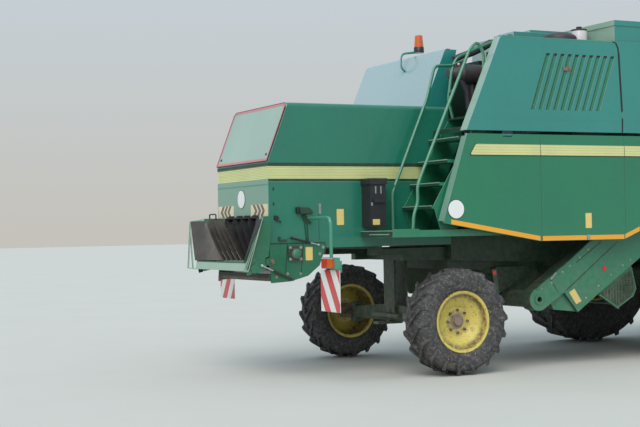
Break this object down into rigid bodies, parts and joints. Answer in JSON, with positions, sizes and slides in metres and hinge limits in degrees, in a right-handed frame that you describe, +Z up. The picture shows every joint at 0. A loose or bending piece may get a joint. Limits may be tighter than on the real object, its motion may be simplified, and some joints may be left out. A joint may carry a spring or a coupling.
{
  "type": "combine harvester",
  "caption": "Grain combine harvester with straw hood, side shields, rear ladder, cab, folding unloading auger and a lifting table with reel, auger and knife.",
  "frame": {"origin": "on the ground at the middle of the machine's outline", "axes": "+X forward along the machine, +Y to its left, +Z up"},
  "size_m": [9.7901, 4.98, 3.9037],
  "materials": {
    "green_paint": "satin clear coat, dusty",
    "dark_green": "satin",
    "cream_band": "satin",
    "pale_board": "satin",
    "galvanised": "dull",
    "dark_steel": "dusty",
    "black_plastic": "matt",
    "board_white": "retroreflective",
    "chromed_rod": "polished",
    "yellow_rim": "gloss, dusty",
    "tyre_rubber": "dusty",
    "tinted_glass": "clear tint",
    "black_paint": "satin",
    "grey_fabric": "woven",
    "yellow_paint": "satin"
  },
  "bodies": {
    "root": {"chassis": "dark_green", "separator_body": "green_paint", "straw_walkers": "galvanised", "straw_hood": "green_paint", "hood_band": "cream_band", "rear_board": "pale_board", "chopper_housing": "green_paint", "lamp_brackets": "green_paint", "warning_boards": "board_white", "rear_ladder": "green_paint", "ladder_treads": "green_paint", "extinguisher_case": "black_plastic", "engine_panels": "green_paint", "grain_tank": "green_paint", "engine": "dark_steel", "muffler": "dark_steel", "cooling_box": "dark_green", "unloader_turret": "green_paint", "cab_frame": "black_paint", "cab_roof": "green_paint", "cab_glass": "tinted_glass", "cab_interior": "grey_fabric", "cab_platform": "green_paint", "drive_axle": "green_paint", "steer_axle": "green_paint", "grain_elevator": "green_paint", "returns_elevator": "green_paint"},
    "chopper_rotor": {"chopper_rotor": "dark_steel"},
    "tailboard": {"tailboard": "green_paint", "tail_frame": "pale_board", "tail_vanes": "dark_steel"},
    "strut_barrels": {"strut_barrels": "black_paint"},
    "strut_rods": {"strut_rods": "chromed_rod"},
    "shield_right": {"shield_right": "green_paint"},
    "shield_left": {"shield_left": "green_paint"},
    "unloading_auger": {"unloading_auger": "green_paint"},
    "cab_door": {"cab_door": "black_paint"},
    "knuckle_left": {"knuckle_left": "green_paint"},
    "knuckle_right": {"knuckle_right": "green_paint"},
    "front_wheel_left": {"front_rim_left": "yellow_rim", "front_tyre_left": "tyre_rubber"},
    "front_wheel_right": {"front_rim_right": "yellow_rim", "front_tyre_right": "tyre_rubber"},
    "rear_wheel_left": {"rear_rim_left": "yellow_rim", "rear_tyre_left": "tyre_rubber"},
    "rear_wheel_right": {"rear_rim_right": "yellow_rim", "rear_tyre_right": "tyre_rubber"},
    "feeder": {"feeder_house": "green_paint", "header_table": "green_paint"},
    "lift_barrels": {"lift_barrels": "black_paint"},
    "lift_rods": {"lift_rods": "chromed_rod"},
    "header_auger": {"header_auger": "yellow_paint"},
    "reel_arms": {"reel_arms": "green_paint"},
    "reel": {"reel": "yellow_paint"},
    "reel_barrels": {"reel_barrels": "black_paint"},
    "reel_rods": {"reel_rods": "chromed_rod"}
  },
  "joints": [
    {"name": "front_left_spin", "type": "hinge", "parent": "root", "child": "front_wheel_left", "pos_m": [0.995, 1.31, 0.975], "axis": [0, 1, 0], "continuous": true},
    {"name": "front_right_spin", "type": "hinge", "parent": "root", "child": "front_wheel_right", "pos_m": [0.995, -1.31, 0.975], "axis": [0, 1, 0], "continuous": true},
    {"name": "steer_left", "type": "hinge", "parent": "root", "child": "knuckle_left", "pos_m": [-2.705, 0.99, 0.57], "axis": [0, 0, 1], "range_deg": [-30, 30]},
    {"name": "steer_right", "type": "hinge", "parent": "root", "child": "knuckle_right", "pos_m": [-2.705, -0.99, 0.57], "axis": [0, 0, 1], "range_deg": [-30, 30]},
    {"name": "rear_left_spin", "type": "hinge", "parent": "knuckle_left", "child": "rear_wheel_left", "pos_m": [-2.705, 1.27, 0.57], "axis": [0, 1, 0], "continuous": true},
    {"name": "rear_right_spin", "type": "hinge", "parent": "knuckle_right", "child": "rear_wheel_right", "pos_m": [-2.705, -1.27, 0.57], "axis": [0, 1, 0], "continuous": true},
    {"name": "chopper_spin", "type": "hinge", "parent": "root", "child": "chopper_rotor", "pos_m": [-4.325, 0, 1.327], "axis": [0, 1, 0], "continuous": true},
    {"name": "auger_spin", "type": "hinge", "parent": "feeder", "child": "header_auger", "pos_m": [3.745, 0, 0.45], "axis": [0, 1, 0], "continuous": true},
    {"name": "reel_spin", "type": "hinge", "parent": "reel_arms", "child": "reel", "pos_m": [4.295, 0, 1.15], "axis": [0, 1, 0], "continuous": true},
    {"name": "shield_right_lift", "type": "hinge", "parent": "root", "child": "shield_right", "pos_m": [-0.705, -1.49, 2.55], "axis": [-1, 0, 0], "range_deg": [0, 75]},
    {"name": "shield_left_lift", "type": "hinge", "parent": "root", "child": "shield_left", "pos_m": [-0.705, 1.49, 2.55], "axis": [1, 0, 0], "range_deg": [0, 75]},
    {"name": "unloader_swing", "type": "hinge", "parent": "root", "child": "unloading_auger", "pos_m": [1.045, 1.3, 3.25], "axis": [0, 0, -1], "range_deg": [0, 95]},
    {"name": "door_swing", "type": "hinge", "parent": "root", "child": "cab_door", "pos_m": [1.391, 0.82, 2.75], "axis": [0, 0, 1], "range_deg": [0, 80]},
    {"name": "feeder_lift", "type": "hinge", "parent": "root", "child": "feeder", "pos_m": [1.625, 0, 1.7], "axis": [0, -1, 0], "range_deg": [0, 22]},
    {"name": "lift_barrel_swing", "type": "hinge", "parent": "root", "child": "lift_barrels", "pos_m": [1.175, 0, 0.77], "axis": [0, -1, 0], "range_deg": [0, 16.24]},
    {"name": "lift_rod_slide", "type": "slide", "parent": "lift_barrels", "child": "lift_rods", "axis": [0.9797, 0, -0.2006], "range_m": [0, 0.36563]},
    {"name": "reel_lift", "type": "hinge", "parent": "feeder", "child": "reel_arms", "pos_m": [3.375, 0, 1.06], "axis": [0, -1, 0], "range_deg": [0, 25]},
    {"name": "reel_barrel_swing", "type": "hinge", "parent": "feeder", "child": "reel_barrels", "pos_m": [3.475, 0, 0.88], "axis": [0, -1, 0], "range_deg": [0, 24.66]},
    {"name": "reel_rod_slide", "type": "slide", "parent": "reel_barrels", "child": "reel_rods", "axis": [0.9405, 0, 0.3398], "range_m": [0, 0.0895]},
    {"name": "tailboard_fold", "type": "hinge", "parent": "root", "child": "tailboard", "pos_m": [-4.63, 0, 1.25], "axis": [0, -1, 0], "range_deg": [0, 60]},
    {"name": "strut_barrel_swing", "type": "hinge", "parent": "root", "child": "strut_barrels", "pos_m": [-4.365, 0, 1.055], "axis": [0, -1, 0], "range_deg": [0, 3.76]},
    {"name": "strut_rod_slide", "type": "slide", "parent": "strut_barrels", "child": "strut_rods", "axis": [0.9124, 0, -0.4093], "range_m": [0, 0.09104]}
  ],
  "couplings": [
    {"joint": "steer_right", "follows": "steer_left", "ratio": 1},
    {"joint": "lift_barrel_swing", "follows": "feeder_lift", "ratio": 0.73591},
    {"joint": "lift_rod_slide", "follows": "feeder_lift", "m_per_rad": 0.95093},
    {"joint": "reel_barrel_swing", "follows": "reel_lift", "ratio": 0.98424},
    {"joint": "reel_rod_slide", "follows": "reel_lift", "m_per_rad": 0.20398},
    {"joint": "strut_barrel_swing", "follows": "tailboard_fold", "ratio": 0.061841},
    {"joint": "strut_rod_slide", "follows": "tailboard_fold", "m_per_rad": 0.08646}
  ]
}
